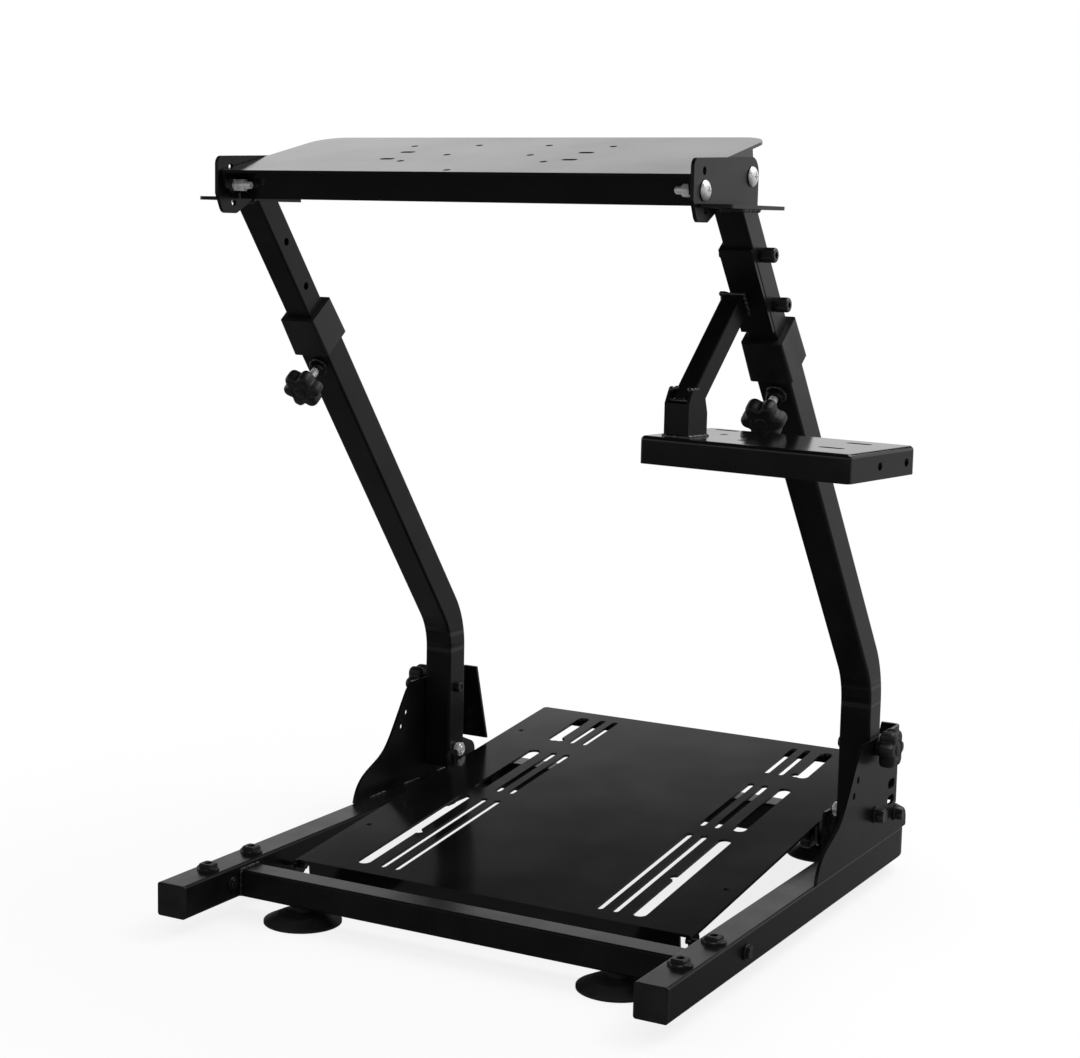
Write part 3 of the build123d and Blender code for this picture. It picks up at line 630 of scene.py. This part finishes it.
# Weld beads by Geometry Nodes: uneven drops along a path

weldBead = {"radius": 2.0, "fineRadius": 1.5, "pitch": 2.1, "least": 0.7, "most": 1.3, "seed": 7}


def weldTree():
    tree = bpy.data.node_groups.new("weldBead", "GeometryNodeTree")
    tree.interface.new_socket("Geometry", in_out="INPUT", socket_type="NodeSocketGeometry")
    addInput(tree, "Radius", "NodeSocketFloat", 0.002)
    addInput(tree, "Pitch", "NodeSocketFloat", 0.002)
    addInput(tree, "Seed", "NodeSocketInt", 7)
    addInput(tree, "Finish", "NodeSocketMaterial", None)
    tree.interface.new_socket("Geometry", in_out="OUTPUT", socket_type="NodeSocketGeometry")
    given = addNode(tree, "NodeGroupInput")
    path = addNode(tree, "GeometryNodeMeshToCurve")
    points = addNode(tree, "GeometryNodeCurveToPoints", mode="LENGTH")
    drop = addNode(tree, "GeometryNodeMeshIcoSphere")
    drop.inputs["Subdivisions"].default_value = 2
    size = addNode(tree, "FunctionNodeRandomValue", data_type="FLOAT")
    size.inputs[2].default_value = weldBead["least"]
    size.inputs[3].default_value = weldBead["most"]
    scatter = addNode(tree, "GeometryNodeInstanceOnPoints")
    realize = addNode(tree, "GeometryNodeRealizeInstances")
    paint = addNode(tree, "GeometryNodeSetMaterial")
    result = addNode(tree, "NodeGroupOutput")
    join(tree, given.outputs["Geometry"], path.inputs["Mesh"])
    join(tree, path.outputs["Curve"], points.inputs["Curve"])
    join(tree, given.outputs["Pitch"], points.inputs["Length"])
    join(tree, given.outputs["Radius"], drop.inputs["Radius"])
    join(tree, given.outputs["Seed"], size.inputs["Seed"])
    join(tree, points.outputs["Points"], scatter.inputs["Points"])
    join(tree, drop.outputs["Mesh"], scatter.inputs["Instance"])
    join(tree, size.outputs[1], scatter.inputs["Scale"])
    join(tree, scatter.outputs["Instances"], realize.inputs["Geometry"])
    join(tree, realize.outputs["Geometry"], paint.inputs["Geometry"])
    join(tree, given.outputs["Finish"], paint.inputs["Material"])
    join(tree, paint.outputs["Geometry"], result.inputs["Geometry"])
    return tree


beadTree = weldTree()


def addWelds(name, body, runs, radius=weldBead["radius"]):
    lines = bpy.data.meshes.new(name + "Lines")
    corners, edges = [], []
    for run in runs:
        first = len(corners)
        corners += [tuple(point) for point in run]
        edges += [(first + step, first + step + 1) for step in range(len(run) - 1)]
    lines.from_pydata(corners, edges, [])
    data = treeMesh(beadTree, {
        "Radius": radius / 1000,
        "Pitch": weldBead["pitch"] / 1000,
        "Seed": weldBead["seed"],
        "Finish": slotMaterials["weld_paint"],
    }, lines)
    data.name = name
    return dressPiece(name, data, body, "frame_paint", 60.0, slotMaterials["weld_paint"])


barWeld = {"x": 217.5, "near": 78.0, "far": 103.0, "low": 18.0, "high": 41.0}
bracketWeld = {"x": 244.3, "z": 46.2, "first": 330.0, "spread": 165.0, "spacing": 2.6, "stitches": 3,
               "stitch": 26.0}
baseRuns, mastRuns = [], []
for side, sign in sides:
    x, near, far = sign * barWeld["x"], barWeld["near"], barWeld["far"]
    low, high = barWeld["low"], barWeld["high"]
    baseRuns.append((spot(x, near, low), spot(x, near, high)))
    baseRuns.append((spot(x, far, low), spot(x, far, high)))
    baseRuns.append((spot(x, near, high), spot(x, far, high)))
    x, z = sign * bracketWeld["x"], bracketWeld["z"]
    for step in range(bracketWeld["stitches"]):
        y = bracketWeld["first"] + bracketWeld["spread"] * step / bracketWeld["spacing"]
        baseRuns.append((spot(x, y, z), spot(x, y + bracketWeld["stitch"], z)))

flangeWeld = {"z": 636.6, "half": 12.5, "centreY": 115.5, "depth": 15.8, "inset": 5.0}
for side, sign in sides:
    near, far = flangeWeld["centreY"] - flangeWeld["depth"], flangeWeld["centreY"] + flangeWeld["depth"]
    inner = sign * (heightKnob["tubeX"] - flangeWeld["half"])
    outer = sign * (heightKnob["tubeX"] + flangeWeld["half"])
    mastRuns.append((spot(outer, near, flangeWeld["z"]), spot(outer, far, flangeWeld["z"])))
    start = spot(inner + sign * flangeWeld["inset"], near, flangeWeld["z"])
    mastRuns.append((start, spot(outer, near, flangeWeld["z"])))

shifterPan = {"corner": (174.5, 68.6, 460.5), "turn": 9.0}


def onPan(x, y, z=0.0):
    turn = math.radians(shifterPan["turn"])
    cornerX, cornerY, cornerZ = shifterPan["corner"]
    placeX = cornerX + x * math.cos(turn) + y * math.sin(turn)
    placeY = cornerY - x * math.sin(turn) + y * math.cos(turn)
    return spot(placeX, placeY, cornerZ + z)


gussetFoot = {"left": 15.3, "right": 38.7, "near": 11.0, "far": 37.0}
left, right, near, far = (gussetFoot[edge] for edge in ("left", "right", "near", "far"))
mastRuns.append((onPan(right, far), onPan(right, near), onPan(left, near), onPan(left, far)))
gussetLip = {"left": 18.2, "right": 35.8, "near": 16.4, "far": 26.0, "height": 36.4,
             "frontY": 16.0, "frontZ": 28.0}
for x in (gussetLip["left"], gussetLip["right"]):
    mastRuns.append(tuple(onPan(x, gussetLip[end], gussetLip["height"]) for end in ("near", "far")))
mastRuns.append(tuple(
    onPan(gussetLip[end], gussetLip["frontY"], gussetLip["frontZ"]) for end in ("left", "right")
))

braceWeld = {"reach": 449.0, "front": 16.0, "halfWidth": 9.5, "centre": 215.3, "length": 19.4}
topReach = braceWeld["reach"] + braceWeld["length"]
braceEdges = [braceWeld["centre"] - heightKnob["tubeX"] + edge * braceWeld["halfWidth"] for edge in (-1, 1)]
for x in braceEdges:
    mastRuns.append(tuple(onTube(1, reach, braceWeld["front"], x) for reach in (braceWeld["reach"], topReach)))
mastRuns.append(tuple(onTube(1, topReach, braceWeld["front"], x) for x in braceEdges))

nutWeld = {"ring": 7.4, "steps": 14}
nutRuns = []
turns = [math.tau * step / nutWeld["steps"] for step in range(nutWeld["steps"] + 1)]
for side, sign in sides:
    nutRuns.append(tuple(
        onTube(sign, heightKnob["reach"] + nutWeld["ring"] * math.cos(turn), heightKnob["halfTube"],
               nutWeld["ring"] * math.sin(turn))
        for turn in turns
    ))
addWelds("baseWelds", "base", baseRuns, weldBead["fineRadius"])
addWelds("mastWelds", "masts", mastRuns)
addWelds("uprightWelds", "uprights", nutRuns)
print("weld beads made")


# Floor and studio light

# mirrorSpan and the glow levels paint the floor's reflection: an emission for glossy rays, darker towards the
# front
paleFloor = {"size": 12.0, "drop": 0.0004, "tone": 0.94, "plainRadius": (0.35, 0.95), "plainShare": (0.82, 1.0),
             "mirrorSpan": (-0.5, 0.9), "paintedReflectionGlow": (0.06, 0.42)}
studioSky = {"fill": 0.85, "turnSpan": (-0.35, 0.45), "glossFront": 0.5,
             "band": ((0.0, 1.0), (0.18, 1.05), (0.29, 1.4), (0.36, 1.35), (0.41, 0.4), (0.47, 0.1),
                      (0.55, 0.015))}  # height of the mirrored sky and its light
keyLamp = {"power": 26.0, "size": 1.6, "place": (900.0, 900.0, 1900.0), "aim": (0.0, 250.0, 300.0)}


def addFloor():
    half = paleFloor["size"] / 2
    data = bpy.data.meshes.new("floor")
    corners = [(-half, -half, 0), (half, -half, 0), (half, half, 0), (-half, half, 0)]
    data.from_pydata(corners, [], [(0, 1, 2, 3)])
    floor = bpy.data.objects.new("floor", data)
    floor.location.z = -paleFloor["drop"]
    scene.collection.objects.link(floor)
    material = bpy.data.materials.new("paleFloor")
    tree, shader = newTree(material)
    tree.nodes.remove(shader)
    output = tree.nodes["Material Output"]
    matte = addNode(tree, "ShaderNodeBsdfDiffuse")
    matte.inputs["Color"].default_value = (paleFloor["tone"],) * 3 + (1,)
    glow = addNode(tree, "ShaderNodeEmission")
    # painted reflection: an emission the floor shows only to glossy rays, in place of the lit floor
    paintedReflectionGlow = addNode(tree, "ShaderNodeEmission")
    light = addNode(tree, "ShaderNodeLightPath")
    seen = addNode(tree, "ShaderNodeMath", operation="MULTIPLY")
    distance = addNode(tree, "ShaderNodeVectorMath", operation="LENGTH")
    # plain white away from the stand
    plain = addFade(tree, paleFloor["plainRadius"], paleFloor["plainShare"], "SMOOTHSTEP")
    white = addNode(tree, "ShaderNodeMixShader")
    mirrored = addNode(tree, "ShaderNodeMixShader")
    coords = addNode(tree, "ShaderNodeTexCoord")
    split = addNode(tree, "ShaderNodeSeparateXYZ")
    fade = addFade(tree, paleFloor["mirrorSpan"], paleFloor["paintedReflectionGlow"])  # painted reflection: the floor's glow for glossy rays, with painted shade dimmer towards the front
    join(tree, coords.outputs["Object"], distance.inputs[0])
    join(tree, distance.outputs["Value"], plain.inputs["Value"])
    join(tree, plain.outputs["Result"], seen.inputs[1])
    join(tree, coords.outputs["Object"], split.inputs["Vector"])
    join(tree, split.outputs["Y"], fade.inputs["Value"])
    join(tree, fade.outputs["Result"], paintedReflectionGlow.inputs["Strength"])
    join(tree, light.outputs["Is Camera Ray"], seen.inputs[0])
    join(tree, seen.outputs[0], white.inputs["Fac"])
    join(tree, matte.outputs["BSDF"], white.inputs[1])
    join(tree, glow.outputs["Emission"], white.inputs[2])
    join(tree, light.outputs["Is Glossy Ray"], mirrored.inputs["Fac"])
    join(tree, white.outputs["Shader"], mirrored.inputs[1])
    join(tree, paintedReflectionGlow.outputs["Emission"], mirrored.inputs[2])
    join(tree, mirrored.outputs["Shader"], output.inputs["Surface"])
    data.materials.append(material)


def addSky():
    world = bpy.data.worlds.new("studio")
    scene.world = world
    world.use_nodes = True
    tree = world.node_tree
    backdrop = tree.nodes["Background"]
    backdrop.inputs["Color"].default_value = (1, 1, 1, 1)
    backdrop.inputs["Strength"].default_value = 1.0
    fill = addNode(tree, "ShaderNodeBackground")
    fill.inputs["Strength"].default_value = studioSky["fill"]
    mirrored = addNode(tree, "ShaderNodeBackground")
    light = addNode(tree, "ShaderNodeLightPath")
    coords = addNode(tree, "ShaderNodeTexCoord")
    split = addNode(tree, "ShaderNodeSeparateXYZ")
    height = addNode(tree, "ShaderNodeValToRGB")  # bright low band, dark above
    while len(height.color_ramp.elements) < len(studioSky["band"]):
        height.color_ramp.elements.new(0.5)
    for element, (position, level) in zip(height.color_ramp.elements, studioSky["band"]):
        element.position = position
        element.color = (level, level, level, 1)
    facing = addNode(tree, "ShaderNodeVectorMath", operation="DOT_PRODUCT")
    facing.inputs[1].default_value = (viewAhead.x, viewAhead.y, 0.0)
    turn = addFade(tree, studioSky["turnSpan"], (studioSky["glossFront"], 1.0), "SMOOTHSTEP")
    level = addNode(tree, "ShaderNodeMath", operation="MULTIPLY")
    firstMix = addNode(tree, "ShaderNodeMixShader")
    lastMix = addNode(tree, "ShaderNodeMixShader")
    plain = addNode(tree, "ShaderNodeMath", operation="MAXIMUM")
    join(tree, coords.outputs["Generated"], split.inputs["Vector"])
    join(tree, split.outputs["Z"], height.inputs["Fac"])
    join(tree, coords.outputs["Generated"], facing.inputs[0])
    join(tree, facing.outputs["Value"], turn.inputs["Value"])
    join(tree, height.outputs["Color"], level.inputs[0])
    join(tree, turn.outputs["Result"], level.inputs[1])
    join(tree, level.outputs[0], mirrored.inputs["Strength"])
    join(tree, light.outputs["Is Glossy Ray"], firstMix.inputs["Fac"])
    join(tree, fill.outputs["Background"], firstMix.inputs[1])
    join(tree, mirrored.outputs["Background"], firstMix.inputs[2])
    join(tree, light.outputs["Is Camera Ray"], plain.inputs[0])
    join(tree, light.outputs["Is Transmission Ray"], plain.inputs[1])
    join(tree, plain.outputs[0], lastMix.inputs["Fac"])
    join(tree, firstMix.outputs["Shader"], lastMix.inputs[1])
    join(tree, backdrop.outputs["Background"], lastMix.inputs[2])
    join(tree, lastMix.outputs["Shader"], tree.nodes["World Output"].inputs["Surface"])


def addKeyLight():
    lamp = bpy.data.lights.new("keyLight", "AREA")
    lamp.energy = keyLamp["power"]
    lamp.size = keyLamp["size"]
    light = bpy.data.objects.new("keyLight", lamp)
    place = spot(*keyLamp["place"])
    light.location = place
    light.rotation_euler = (spot(*keyLamp["aim"]) - place).to_track_quat("-Z", "Y").to_euler()
    scene.collection.objects.link(light)


addFloor()
addSky()
addKeyLight()
print("studio set")
